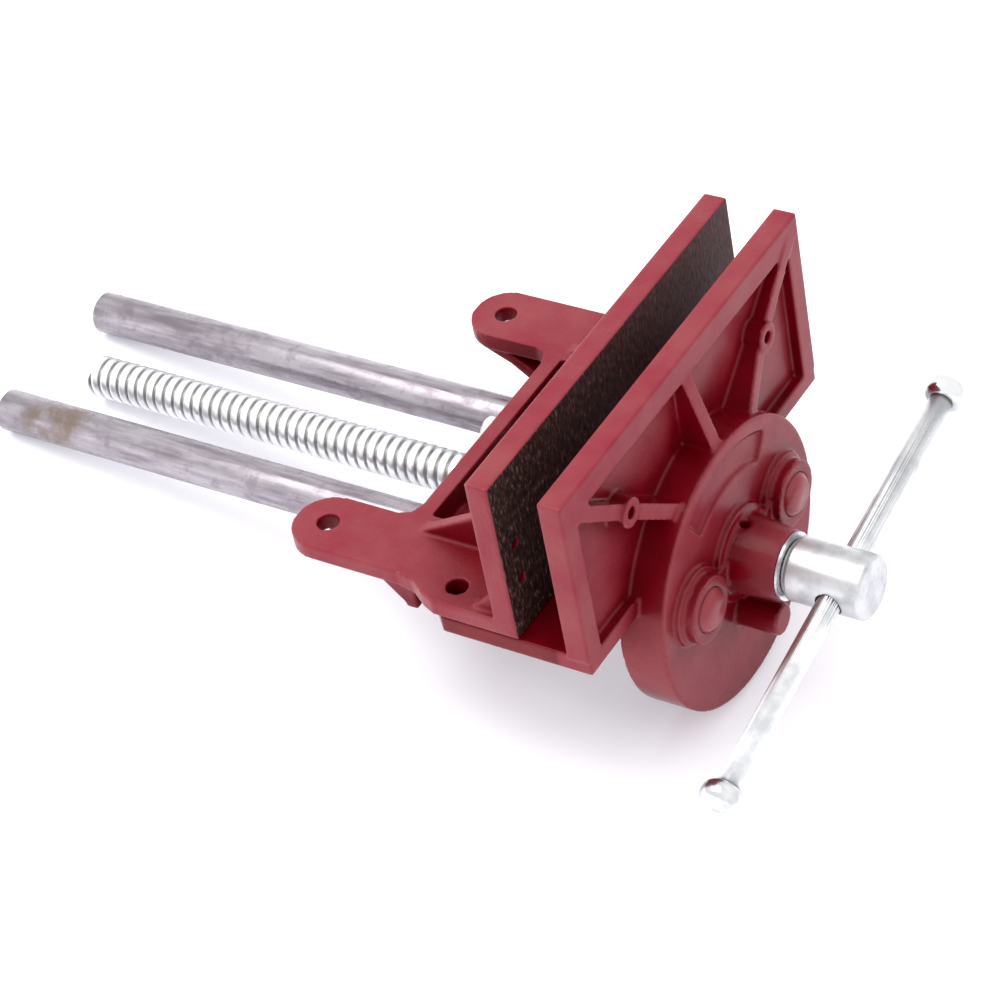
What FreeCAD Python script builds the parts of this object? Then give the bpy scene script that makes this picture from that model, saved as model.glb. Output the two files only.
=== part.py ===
"""Woodworking bench vise with a plain screw, nine-inch jaws.

Axes: +X runs along the jaws, +Y runs back under the bench, +Z is up. The
origin lies on the centre plane, at the rear jaw's clamping face (Y = 0) and
at the height of the bench seat (Z = 0). All sizes are millimetres. The jaws
stand JAW_GAP apart.
"""
import FreeCAD, Part
import math
import os

V = FreeCAD.Vector

# ---- jaws -----------------------------------------------------------------
JAW_WIDTH = 225.0
JAW_TOP = 82.0            # height of both jaws above the bench seat
JAW_THICK = 12.0          # rim depth, both jaws
JAW_GAP = 25.4            # opening as drawn
FLANGE_THICK = 9.0        # bench flange and lugs

# ---- rods and screw -------------------------------------------------------
ROD_DIA = 22.0
ROD_X = 43.0              # half of the rod spacing
ROD_Z = -31.0
ROD_FRONT = -63.0
ROD_REAR = 358.0
ROD_FRONT_CHAMFER = 2.7
ROD_REAR_CHAMFER = 1.2
SCREW_DIA = 22.0
SCREW_CORE_DIA = 16.0
SCREW_Z = -34.0
SCREW_LEAD = 6.0
SCREW_TURNS = 50
THREAD_FRONT = 30.0       # plain shank in front of this, thread behind it
PILOT = 1.5               # tapered end behind the last turn

# ---- fits -----------------------------------------------------------------
ROD_FIT = 0.08            # radial running fit, rod in the rear casting
SHANK_FIT = 0.10          # radial running fit, screw shank in the hub
THREAD_PLAY = 0.35        # nut bore clear of the screw's crests
BAR_PLAY = 0.50           # radial play of the bar in the head
STACK_GAP = 0.10          # end float of the screw in the front jaw
SEAT_GAP = 0.05           # parted faces inside one body
COLLAR_CLEAR = 0.50       # retaining collar below the front jaw's foot

# ---- rear casting ---------------------------------------------------------
LUG_X = 83.5
LUG_Y = 122.0
LUG_RADIUS = 18.0
LUG_HOLE_DIA = 11.0
FLANGE_HOLE_X = 99.5
FLANGE_HOLE_Y = 39.0
FLANGE_HOLE_DIA = 10.5
FLANGE_DEPTH = 56.0
BAR_FRONT = 76.5          # cross wall behind the slot
BAR_REAR = 85.5
BOX_HALF = 68.0           # outside half width of the nut box
BOX_WALL = 6.5
BOX_DEPTH = 60.0
COLLAR_PASSAGE = 20.0     # radius of the front wall's hole, for the collar
GUSSET_X = 70.0
GUSSET_THICK = 7.0
GUSSET_HEIGHT = 37.0
ROD_BOSS_DIA = 36.0
CHEEK_HOLE_DIA = 5.0
REAR_CHEEK_X = 100.0
REAR_CHEEK_Z = (19.5, 40.0)

# ---- front casting --------------------------------------------------------
FACE_WALL = 6.5           # clamping wall behind the open pockets
RIM_SIDE = 12.0
RIM_TOP = 14.0
RIM_FOOT = 8.0
FRONT_FOOT = -18.5        # underside of the front jaw
FOOT_CHAMFER = 7.0
DRUM_RADIUS = 73.0
DRUM_Z = -42.0
DRUM_FACE = -51.0
DRUM_WALL = 8.0
HUB_FRONT = -79.0
HUB_BASE_RADIUS = 20.5
HUB_TIP_RADIUS = 17.0
ROD_BOSS_FOOT = -54.0     # wide foot of the rod bosses
ROD_BOSS_FOOT_RADIUS = 19.5
ROD_BOSS_FACE = -60.2
ROD_BOSS_RADIUS = 16.8
HUB_WEB_FACE = -56.0      # webs between the hub and the rod bosses
HUB_WEB_HALF = 6.0
BAND_INNER = 50.0
BAND_OUTER = 65.0
BAND_HALF_ANGLE = 34.0
BAND_DEPTH = 2.0
FRONT_CHEEK_X = 66.0
FRONT_CHEEK_Z = 43.0
FRONT_CHEEK_FACE = -42.0
RIB_THICK = 8.0
STUB_X = -4.0
STUB_Z = -67.5
STUB_RADIUS = 8.0
STUB_FRONT = -73.5
WING_TOP = -10.0
WING_FOOT = -19.5
WING_REAR = 51.0
WING_INNER = 71.0
OIL_HOLE_DIA = 5.0

# ---- nut ------------------------------------------------------------------
NUT_BODY_DIA = 36.0
NUT_FLANGE_WIDTH = 59.0
NUT_FLANGE_HEIGHT = 40.0
NUT_FLANGE_THICK = 8.0
NUT_FRONT = 52.0
NUT_BOLT_X = 22.0
NUT_BOLT_RISE = 13.0      # bolts sit on a diagonal, one up and one down
BOLT_DIA = 8.0
BOLT_HEAD_ACROSS = 13.0
BOLT_HEAD_THICK = 5.3
BOLT_WASHER_DIA = 16.0
BOLT_WASHER_THICK = 1.6

# ---- thread form ----------------------------------------------------------
HALF_FOOT = 2.25
HALF_CREST = 1.55

# ---- screw head and bar ---------------------------------------------------
WASHER_THICK = 1.2
WASHER_DIA = 33.6
HEAD_DIA = 32.0
HEAD_FRONT = -122.0
HEAD_CHAMFER = 1.2
HEAD_NECK_DIA = 27.0      # undercut between the washer and the head
HEAD_NECK = 2.0
HEAD_PIN_TOP = 12.0       # the pin stops short of the head's upper side
BAR_Y = -106.0
BAR_TILT = 10.8           # degrees, far end raised
BAR_DIA = 12.0
BAR_LOW = 128.0           # knob centre below the head
BAR_HIGH = 117.5          # knob centre above the head
BAR_SPIGOT_DIA = 8.0
HEAD_SPIGOT_DIA = 18.0
HEAD_SPIGOT_FRONT = -97.0
HEAD_PIN_Y = -89.0
KNOB_DIA = 21.0
KNOB_LENGTH = 11.0
KNOB_WALL = 2.9           # knob metal beyond the end of its socket
COLLAR_THICK = 12.0
COLLAR_CHAMFER = 1.0
PIN_DIA = 5.0
ROD_PIN_Y = -36.0         # cross pins that hold the rods in the front casting

# ---- places that follow from the sizes above --------------------------------
HEAD_REAR = HUB_FRONT - WASHER_THICK - 2 * STACK_GAP
COLLAR_FRONT = -JAW_GAP - 0.5 + STACK_GAP
COLLAR_DIA = 2 * (FRONT_FOOT - SCREW_Z - COLLAR_CLEAR)


def box(x0, x1, y0, y1, z0, z1):
    """Return a block between two corners."""
    return Part.makeBox(x1 - x0, y1 - y0, z1 - z0, V(x0, y0, z0))


def rod_y(x, z, radius, y0, y1):
    """Return a cylinder along Y."""
    return Part.makeCylinder(radius, y1 - y0, V(x, y0, z), V(0, 1, 0))


def rod_z(x, y, radius, z0, z1):
    """Return a cylinder along Z."""
    return Part.makeCylinder(radius, z1 - z0, V(x, y, z0), V(0, 0, 1))


def prism(points, sweep):
    """Return a polygon of 3-D points swept along a vector."""
    wire = Part.makePolygon(points + [points[0]])
    return Part.Face(wire).extrude(sweep)


def plate_xz(points, y0, y1):
    """Return an outline in X and Z swept along Y."""
    return prism([V(x, y0, z) for x, z in points], V(0, y1 - y0, 0))


def plate_xy(points, z0, z1):
    """Return an outline in X and Y swept along Z."""
    return prism([V(x, y, z0) for x, y in points], V(0, 0, z1 - z0))


def plate_yz(points, x0, x1):
    """Return an outline in Y and Z swept along X."""
    return prism([V(x0, y, z) for y, z in points], V(x1 - x0, 0, 0))


def join(shapes):
    """Fuse shapes and tidy the seams between them."""
    solid = shapes[0].multiFuse(shapes[1:])
    return solid.removeSplitter()


def mirrored(shape):
    """Return the shape reflected to the other side of the centre plane."""
    return shape.mirror(V(0, 0, 0), V(1, 0, 0))


def both_sides(shape):
    """Return the shape and its reflection."""
    return [shape, mirrored(shape)]


def slanted_rib(start, end, width, section):
    """Return a rib in the X-Z plane.

    The section lists (fraction along the rib, Y) pairs of its side view.
    """
    run = V(end[0] - start[0], 0, end[1] - start[1])
    across = V(-run.z, 0, run.x)
    across.normalize()
    corner = V(start[0], 0, start[1]) - across * (width / 2)
    points = [corner + run * part + V(0, y, 0) for part, y in section]
    return prism(points, across * width)


def rims_at(shape, y):
    """Return the circular edges of a shape that lie at a Y."""
    circles = [edge for edge in shape.Edges if edge.Curve.TypeId == "Part::GeomCircle"]
    return [edge for edge in circles if abs(edge.Curve.Center.y - y) < 0.001]


def turned_about_screw(outline):
    """Return a (Y, radius) outline turned about the screw axis."""
    points = [V(0, y, SCREW_Z + radius) for y, radius in outline]
    face = Part.Face(Part.makePolygon(points + [points[0]]))
    return face.revolve(V(0, 0, SCREW_Z), V(0, 1, 0), 360)


def lug_outline():
    """Return the bench flange of the +X side with its lug, as a solid."""
    half = JAW_WIDTH / 2
    outer = LUG_X + LUG_RADIUS
    inner = LUG_X - LUG_RADIUS
    flange = plate_xy([
        (0, 0),
        (half, 0),
        (half, FLANGE_DEPTH - 10),
        (half - 3, FLANGE_DEPTH - 3),
        (outer + 2, FLANGE_DEPTH + 6),
        (outer, FLANGE_DEPTH + 16),
        (outer, LUG_Y),
        (inner, LUG_Y),
        (inner, BAR_REAR + 8),
        (inner - 3, BAR_REAR + 2),
        (inner - 9, BAR_REAR),
        (0, BAR_REAR),
    ], -FLANGE_THICK, 0)
    tip = rod_z(LUG_X, LUG_Y, LUG_RADIUS, -FLANGE_THICK, 0)
    return flange.fuse(tip)


def lug_web():
    """Return the pocketed web under the +X lug."""
    inner = LUG_X - LUG_RADIUS
    top = -FLANGE_THICK / 2
    root = -42.0
    side = [
        (BAR_REAR - 2, top),
        (LUG_Y + 9, top),
        (LUG_Y + 3, -FLANGE_THICK - 2),
        (LUG_Y - 10, -17.0),
        (BAR_REAR + 12, -28.0),
        (BAR_REAR - 2, root),
    ]
    web = plate_yz(side, inner + 1, inner + 19)
    pocket = plate_yz([
        (BAR_REAR + 4, -FLANGE_THICK),
        (LUG_Y - 8, -FLANGE_THICK),
        (BAR_REAR + 11, -20.0),
        (BAR_REAR + 4, -27.0),
    ], inner, inner + 12)
    return web.cut(pocket)


def rear_jaw_casting():
    """Return the fixed jaw, bench flange, lugs and nut box in one casting."""
    half = JAW_WIDTH / 2
    jaw = box(-half, half, 0, JAW_THICK, -FLANGE_THICK, JAW_TOP)
    flange = lug_outline()
    gusset = plate_yz([
        (JAW_THICK - 1, -1),
        (BAR_FRONT, -1),
        (BAR_FRONT, 0),
        (JAW_THICK - 1, GUSSET_HEIGHT),
    ], GUSSET_X - GUSSET_THICK / 2, GUSSET_X + GUSSET_THICK / 2)
    corner_web = plate_yz([
        (JAW_THICK - 1, -1),
        (JAW_THICK + 13, -1),
        (JAW_THICK + 13, 0),
        (JAW_THICK - 1, 14),
    ], half - 10, half - 4)
    side_wall = box(BOX_HALF - BOX_WALL, BOX_HALF, 4, BAR_REAR, -BOX_DEPTH, -1)
    front_wall = box(-BOX_HALF, BOX_HALF, 2, JAW_THICK, -BOX_DEPTH, -1)
    rear_wall = box(-BOX_HALF, BOX_HALF, BAR_FRONT, BAR_REAR, -BOX_DEPTH, -1)
    radius = ROD_BOSS_DIA / 2
    front_boss = rod_y(ROD_X, ROD_Z, radius, 1, 24)
    rear_boss = rod_y(ROD_X, ROD_Z, radius, 58, BAR_REAR)
    buttress = box(BOX_HALF - 2, LUG_X + 1, BAR_REAR - 6.5, BAR_REAR, -42, -1)
    parts = [jaw, front_wall, rear_wall]
    for shape in (flange, gusset, corner_web, side_wall, front_boss,
                  rear_boss, buttress, lug_web()):
        parts += both_sides(shape)
    casting = join(parts)

    slot_half = BOX_HALF - BOX_WALL
    slot = box(-slot_half, slot_half, JAW_THICK, BAR_FRONT, -FLANGE_THICK - 1, 1)
    cuts = [slot]
    bore = ROD_DIA / 2 + ROD_FIT
    cuts += both_sides(rod_y(ROD_X, ROD_Z, bore, -5, BAR_REAR + 20))
    cuts.append(rod_y(0, SCREW_Z, COLLAR_PASSAGE, -5, JAW_THICK + 15))
    cuts.append(rod_y(0, SCREW_Z, NUT_BODY_DIA / 2 + SEAT_GAP, BAR_FRONT - 5, BAR_REAR + 5))
    for x, z in nut_bolt_places():
        cuts.append(rod_y(x, z, BOLT_DIA / 2 + SEAT_GAP, 70, 95))
    cuts += both_sides(rod_z(LUG_X, LUG_Y, LUG_HOLE_DIA / 2, -60, 5))
    hole = rod_z(FLANGE_HOLE_X, FLANGE_HOLE_Y, FLANGE_HOLE_DIA / 2, -20, 5)
    cuts += both_sides(hole)
    for height in REAR_CHEEK_Z:
        cuts += both_sides(rod_y(REAR_CHEEK_X, height, CHEEK_HOLE_DIA / 2, -5, 20))
    return casting.cut(cuts)


def front_jaw_casting():
    """Return the moving jaw with its pockets, ribs, drum, hub and wings."""
    half = JAW_WIDTH / 2
    back = -JAW_GAP
    front = back - JAW_THICK
    floor = back - FACE_WALL
    slab = plate_xz([
        (-half, JAW_TOP),
        (half, JAW_TOP),
        (half, FRONT_FOOT + FOOT_CHAMFER),
        (half - FOOT_CHAMFER, FRONT_FOOT),
        (FOOT_CHAMFER - half, FRONT_FOOT),
        (-half, FRONT_FOOT + FOOT_CHAMFER),
    ], front, back)
    inner = half - RIM_SIDE
    pocket = box(
        -inner, inner, front - 1, floor, FRONT_FOOT + RIM_FOOT, JAW_TOP - RIM_TOP)
    drum = rod_y(0, DRUM_Z, DRUM_RADIUS, DRUM_FACE, back - 1.6)
    slope = [(0, floor + 1), (0, front), (0.62, FRONT_CHEEK_FACE + 1.5),
             (1, FRONT_CHEEK_FACE - 5), (1, floor + 1)]
    corner_rib = slanted_rib((inner + 6, JAW_TOP - 8), (36, 20), RIB_THICK, slope)
    mid_rib = plate_yz([
        (floor + 1, JAW_TOP - RIM_TOP + 1),
        (front, JAW_TOP - RIM_TOP + 1),
        (DRUM_FACE + 2, DRUM_Z + DRUM_RADIUS - 2),
        (floor + 1, DRUM_Z + DRUM_RADIUS - 2),
    ], -RIB_THICK / 2, RIB_THICK / 2)
    cheek_boss = rod_y(FRONT_CHEEK_X, FRONT_CHEEK_Z, 7.5, FRONT_CHEEK_FACE, floor + 1)
    casting = join([slab.cut(pocket), drum, mid_rib]
                   + both_sides(corner_rib) + both_sides(cheek_boss))

    hollow = rod_y(0, DRUM_Z, DRUM_RADIUS - DRUM_WALL, DRUM_FACE + DRUM_WALL, 0)
    hollow = hollow.common(box(-100, 100, -100, 10, -200, FRONT_FOOT - 6))
    band = ring_sector(BAND_INNER, BAND_OUTER, BAND_HALF_ANGLE)
    casting = casting.cut([hollow, band])

    rim = back - 0.5
    pads = [rod_y(0, SCREW_Z, HUB_BASE_RADIUS + 4, DRUM_FACE - 3, rim)]
    pads += both_sides(rod_y(ROD_X, ROD_Z, ROD_BOSS_FOOT_RADIUS, ROD_BOSS_FOOT, rim))
    pads += both_sides(rod_y(ROD_X, ROD_Z, ROD_BOSS_RADIUS, ROD_BOSS_FACE, DRUM_FACE + 3))
    pads.append(box(-ROD_X, ROD_X, HUB_WEB_FACE, DRUM_FACE + 2,
                    ROD_Z - HUB_WEB_HALF, ROD_Z + HUB_WEB_HALF))
    pads.append(Part.makeCone(
        HUB_TIP_RADIUS, HUB_BASE_RADIUS, DRUM_FACE - HUB_FRONT,
        V(0, HUB_FRONT, SCREW_Z), V(0, 1, 0)))
    pads.append(rod_y(STUB_X, STUB_Z, STUB_RADIUS, STUB_FRONT, DRUM_FACE + 3))
    wing = plate_xy([
        (WING_INNER, front),
        (half - 1, front),
        (half - 1, WING_REAR - 8),
        (half - 9, WING_REAR),
        (WING_INNER, WING_REAR),
    ], WING_FOOT, WING_TOP)
    pads += both_sides(wing)
    casting = join([casting] + pads)

    cuts = both_sides(rod_y(ROD_X, ROD_Z, ROD_DIA / 2 + SEAT_GAP, -100, 10))
    cuts.append(rod_y(0, SCREW_Z, SCREW_DIA / 2 + SHANK_FIT, -100, 10))
    cuts += both_sides(rod_y(FRONT_CHEEK_X, FRONT_CHEEK_Z, 3.0, -60, 10))
    cuts.append(rod_z(0, -57, OIL_HOLE_DIA / 2, SCREW_Z + 5, SCREW_Z + 40))
    pin = PIN_DIA / 2 + SEAT_GAP
    cuts += both_sides(rod_z(ROD_X, ROD_PIN_Y, pin, ROD_Z - 25, ROD_Z + 15))
    return casting.cut(cuts)


def ring_sector(inner, outer, half_angle):
    """Return the sunken arch band above the hub on the drum face."""
    ring = rod_y(0, DRUM_Z, outer, DRUM_FACE - 1, DRUM_FACE + BAND_DEPTH)
    ring = ring.cut(rod_y(0, DRUM_Z, inner, DRUM_FACE - 2, DRUM_FACE + 10))
    reach = 2 * outer
    lean = math.radians(half_angle)
    wedge = plate_xz([
        (0, DRUM_Z),
        (reach * math.sin(lean), DRUM_Z + reach * math.cos(lean)),
        (-reach * math.sin(lean), DRUM_Z + reach * math.cos(lean)),
    ], DRUM_FACE - 5, DRUM_FACE + 10)
    return ring.common(wedge)


def nut_bolt_places():
    """Return the X and Z of the two nut bolts."""
    return [(NUT_BOLT_X, SCREW_Z + NUT_BOLT_RISE), (-NUT_BOLT_X, SCREW_Z - NUT_BOLT_RISE)]


def nut():
    """Return the flanged nut; its thread is a plain bore clear of the screw."""
    rear = BAR_REAR + NUT_FLANGE_THICK
    body = rod_y(0, SCREW_Z, NUT_BODY_DIA / 2, NUT_FRONT, BAR_REAR + 1)
    half = NUT_FLANGE_HEIGHT / 2
    side = NUT_FLANGE_WIDTH / 2
    flange = plate_xz([
        (-side, SCREW_Z - half),
        (side - 10, SCREW_Z - half),
        (side, SCREW_Z - half + 10),
        (side, SCREW_Z + half),
        (10 - side, SCREW_Z + half),
        (-side, SCREW_Z + half - 10),
    ], BAR_REAR + SEAT_GAP, rear)
    cuts = [rod_y(0, SCREW_Z, SCREW_DIA / 2 + THREAD_PLAY, NUT_FRONT - 5, rear + 5)]
    for x, z in nut_bolt_places():
        cuts.append(rod_y(x, z, BOLT_DIA / 2 + 0.3, 80, 100))
    return join([body, flange]).cut(cuts)


def nut_bolts():
    """Return the two hexagon bolts that hold the nut's flange."""
    seat = BAR_REAR + NUT_FLANGE_THICK + BOLT_WASHER_THICK + SEAT_GAP
    bolts = []
    for x, z in nut_bolt_places():
        corners = []
        for step in range(6):
            turn = math.radians(60 * step)
            reach = BOLT_HEAD_ACROSS / 2 / math.cos(math.radians(30))
            corners.append((x + reach * math.cos(turn), z + reach * math.sin(turn)))
        head = plate_xz(corners, seat, seat + BOLT_HEAD_THICK)
        crown = Part.makeCone(
            BOLT_HEAD_ACROSS / 2 + 3.5, BOLT_HEAD_ACROSS / 2 - 0.5, 4.0,
            V(x, seat + BOLT_HEAD_THICK - 3.9, z), V(0, 1, 0))
        lower = rod_y(x, z, BOLT_HEAD_ACROSS, seat - 1, seat + BOLT_HEAD_THICK - 3.9)
        head = head.common(crown.fuse(lower))
        bolts.append(head.fuse(rod_y(x, z, BOLT_DIA / 2, BAR_FRONT - 3, seat + 1)))
    return Part.makeCompound(bolts)


def nut_washers():
    """Return the two plain washers under the bolt heads."""
    seat = BAR_REAR + NUT_FLANGE_THICK + SEAT_GAP / 2
    rings = []
    for x, z in nut_bolt_places():
        ring = rod_y(x, z, BOLT_WASHER_DIA / 2, seat, seat + BOLT_WASHER_THICK)
        rings.append(ring.cut(rod_y(x, z, BOLT_DIA / 2 + 0.2, seat - 1, seat + 3)))
    return Part.makeCompound(rings)


def guide_rod():
    """Return the guide rod of the +X side."""
    bar = rod_y(ROD_X, ROD_Z, ROD_DIA / 2, ROD_FRONT, ROD_REAR)
    bar = bar.makeChamfer(ROD_FRONT_CHAMFER, rims_at(bar, ROD_FRONT))
    bar = bar.makeChamfer(ROD_REAR_CHAMFER, rims_at(bar, ROD_REAR))
    return bar.cut(rod_z(ROD_X, ROD_PIN_Y, PIN_DIA / 2 + SEAT_GAP, ROD_Z - 20, ROD_Z + 15))


def rod_pins():
    """Return the two cross pins of the guide rods."""
    pin = rod_z(ROD_X, ROD_PIN_Y, PIN_DIA / 2, ROD_Z - 18, ROD_Z + 14.5)
    return Part.makeCompound(both_sides(pin))


def lead_screw():
    """Return the screw: spigot, plain shank and a thread drawn as rings."""
    core = SCREW_CORE_DIA / 2
    crest = SCREW_DIA / 2
    outline = [
        (HEAD_SPIGOT_FRONT, 0),
        (HEAD_SPIGOT_FRONT, HEAD_SPIGOT_DIA / 2),
        (HEAD_REAR + STACK_GAP, HEAD_SPIGOT_DIA / 2),
        (HEAD_REAR + STACK_GAP, crest),
        (THREAD_FRONT, crest),
        (THREAD_FRONT, core),
    ]
    for turn in range(SCREW_TURNS):
        middle = THREAD_FRONT + (turn + 0.5) * SCREW_LEAD
        outline += [
            (middle - HALF_FOOT, core),
            (middle - HALF_CREST, crest),
            (middle + HALF_CREST, crest),
            (middle + HALF_FOOT, core),
        ]
    rear = THREAD_FRONT + SCREW_TURNS * SCREW_LEAD
    outline += [(rear, core), (rear + PILOT, core - 1), (rear + PILOT, 0)]
    body = turned_about_screw(outline)
    pin = PIN_DIA / 2 + SEAT_GAP
    cuts = [rod_z(0, HEAD_PIN_Y, pin, SCREW_Z - 20, SCREW_Z + 20)]
    cuts.append(rod_z(0, collar_middle(), pin, SCREW_Z - 20, SCREW_Z + 20))
    return body.cut(cuts)


def collar_middle():
    """Return the Y of the retaining collar's middle."""
    return COLLAR_FRONT + COLLAR_THICK / 2


def retaining_collar():
    """Return the collar that draws the front jaw open."""
    ring = rod_y(0, SCREW_Z, COLLAR_DIA / 2, COLLAR_FRONT, COLLAR_FRONT + COLLAR_THICK)
    ring = ring.makeChamfer(COLLAR_CHAMFER, rims_at(ring, COLLAR_FRONT + COLLAR_THICK))
    bore = rod_y(0, SCREW_Z, SCREW_DIA / 2 + SEAT_GAP, -60, 10)
    pin = rod_z(0, collar_middle(), PIN_DIA / 2 + SEAT_GAP, SCREW_Z - 30, SCREW_Z + 30)
    return ring.cut([bore, pin])


def collar_pin():
    """Return the dowel across the collar and the screw."""
    reach = COLLAR_DIA / 2 - 0.5
    return rod_z(0, collar_middle(), PIN_DIA / 2, SCREW_Z - reach, SCREW_Z + reach)


def thrust_washer():
    """Return the washer between the hub and the head."""
    front = HEAD_REAR + SEAT_GAP
    ring = rod_y(0, SCREW_Z, WASHER_DIA / 2, front, front + WASHER_THICK)
    return ring.cut(rod_y(0, SCREW_Z, SCREW_DIA / 2 + 0.2, front - 1, front + 3))


def along_bar(distance):
    """Return a point on the bar's axis, counted from the head's axis."""
    tilt = math.radians(BAR_TILT)
    return V(distance * math.cos(tilt), BAR_Y, SCREW_Z + distance * math.sin(tilt))


def bar_round(radius, start, end):
    """Return a cylinder on the bar's axis."""
    foot = along_bar(start)
    return Part.makeCylinder(radius, end - start, foot, along_bar(end) - foot)


def screw_head():
    """Return the round head with its spigot socket and cross hole."""
    shoulder = HEAD_REAR - HEAD_NECK
    head = rod_y(0, SCREW_Z, HEAD_DIA / 2, HEAD_FRONT, shoulder)
    head = head.makeChamfer(HEAD_CHAMFER, rims_at(head, HEAD_FRONT))
    head = head.makeChamfer(HEAD_CHAMFER, rims_at(head, shoulder))
    head = head.fuse(rod_y(0, SCREW_Z, HEAD_NECK_DIA / 2, shoulder - 1, HEAD_REAR))
    socket = rod_y(0, SCREW_Z, HEAD_SPIGOT_DIA / 2 + SEAT_GAP, HEAD_SPIGOT_FRONT - 0.5, 0)
    hole = bar_round(BAR_DIA / 2 + BAR_PLAY, -40, 40)
    pin = rod_z(0, HEAD_PIN_Y, PIN_DIA / 2 + SEAT_GAP,
                SCREW_Z - HEAD_DIA, SCREW_Z + HEAD_PIN_TOP + SEAT_GAP)
    return head.cut([socket, hole, pin])


def head_pin():
    """Return the dowel of the head, driven in from below."""
    foot = SCREW_Z - HEAD_DIA / 2 + 0.4
    return rod_z(0, HEAD_PIN_Y, PIN_DIA / 2, foot, SCREW_Z + HEAD_PIN_TOP)


def tommy_bar():
    """Return the sliding bar with turned-down ends."""
    step = KNOB_LENGTH / 2
    tail = step - KNOB_WALL - SEAT_GAP
    middle = bar_round(BAR_DIA / 2, step - BAR_LOW, BAR_HIGH - step)
    spigots = bar_round(BAR_SPIGOT_DIA / 2, -BAR_LOW - tail, BAR_HIGH + tail)
    return middle.fuse(spigots)


def bar_knob(distance, outward):
    """Return one end knob; outward is +1 at the raised end."""
    ball = Part.makeSphere(KNOB_DIA / 2 + 0.6, along_bar(distance))
    half = KNOB_LENGTH / 2 - SEAT_GAP
    slab = bar_round(KNOB_DIA / 2, distance - half, distance + half)
    knob = ball.common(slab)
    inside = distance - outward * KNOB_LENGTH
    bottom = distance + outward * (KNOB_LENGTH / 2 - KNOB_WALL)
    radius = BAR_SPIGOT_DIA / 2 + SEAT_GAP
    socket = bar_round(radius, min(inside, bottom), max(inside, bottom))
    return knob.cut(socket)


PARTS = {
    "rear_jaw_casting": rear_jaw_casting(),
    "front_jaw_casting": front_jaw_casting(),
    "nut": nut(),
    "nut_bolts": nut_bolts(),
    "nut_washers": nut_washers(),
    "guide_rod_right": guide_rod(),
    "guide_rod_left": mirrored(guide_rod()),
    "rod_pins": rod_pins(),
    "lead_screw": lead_screw(),
    "retaining_collar": retaining_collar(),
    "collar_pin": collar_pin(),
    "thrust_washer": thrust_washer(),
    "screw_head": screw_head(),
    "head_pin": head_pin(),
    "tommy_bar": tommy_bar(),
    "bar_knob_low": bar_knob(-BAR_LOW, -1),
    "bar_knob_high": bar_knob(BAR_HIGH, 1),
}

os.makedirs("parts", exist_ok=True)
for name, shape in PARTS.items():
    shape.exportStep("parts/" + name + ".step")
    print(name, shape.isValid(), len(shape.Solids), round(shape.Volume))
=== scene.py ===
"""Looks of the nine-inch woodworking bench vise.

The castings are given soft sand-cast edges and gloss enamel, the screw gets
its real helical thread, and the bright parts get drawn and plated finishes.
Lengths are metres in the frame of the CAD model.
"""
import logging
import math
from dataclasses import dataclass
from enum import Enum
from typing import Callable, Iterable, Sequence

import bmesh
import bpy
from mathutils import Matrix, Vector


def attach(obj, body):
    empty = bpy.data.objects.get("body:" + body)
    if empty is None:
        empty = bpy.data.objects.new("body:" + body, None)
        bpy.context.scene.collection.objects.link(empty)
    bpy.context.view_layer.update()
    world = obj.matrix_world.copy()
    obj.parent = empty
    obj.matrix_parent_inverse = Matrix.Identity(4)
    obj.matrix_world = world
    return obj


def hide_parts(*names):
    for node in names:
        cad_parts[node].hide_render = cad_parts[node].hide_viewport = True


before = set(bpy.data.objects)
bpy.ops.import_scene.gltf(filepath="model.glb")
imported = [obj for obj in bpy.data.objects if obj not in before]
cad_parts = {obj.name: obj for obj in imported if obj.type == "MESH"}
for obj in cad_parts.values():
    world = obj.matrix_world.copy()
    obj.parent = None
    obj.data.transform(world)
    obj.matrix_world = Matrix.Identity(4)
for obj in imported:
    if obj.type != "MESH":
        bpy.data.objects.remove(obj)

log = logging.getLogger("vise")
MM = 0.001

ROUND_STEPS = 64        # faces round a turned part
MERGE = 1e-6            # corners nearer than this are one

Colour = tuple[float, float, float]
Point = tuple[float, float, float]
Pair = tuple[float, float]


class Body(Enum):
    """Moving groups of the CAD model."""

    BODY = "body"
    FRONT_JAW = "front_jaw"
    SCREW = "screw"
    BAR = "bar"


class Slot(Enum):
    """Material slots of the record."""

    ENAMEL = "enamel"
    NUT_IRON = "nut_iron"
    BRIGHT_STEEL = "bright_steel"
    ZINC_PLATE = "zinc_plate"
    FASTENER_ZINC = "fastener_zinc"


class Axis(Enum):
    """Columns of an object's own coordinates."""

    X = "X"
    Y = "Y"
    Z = "Z"


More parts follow.
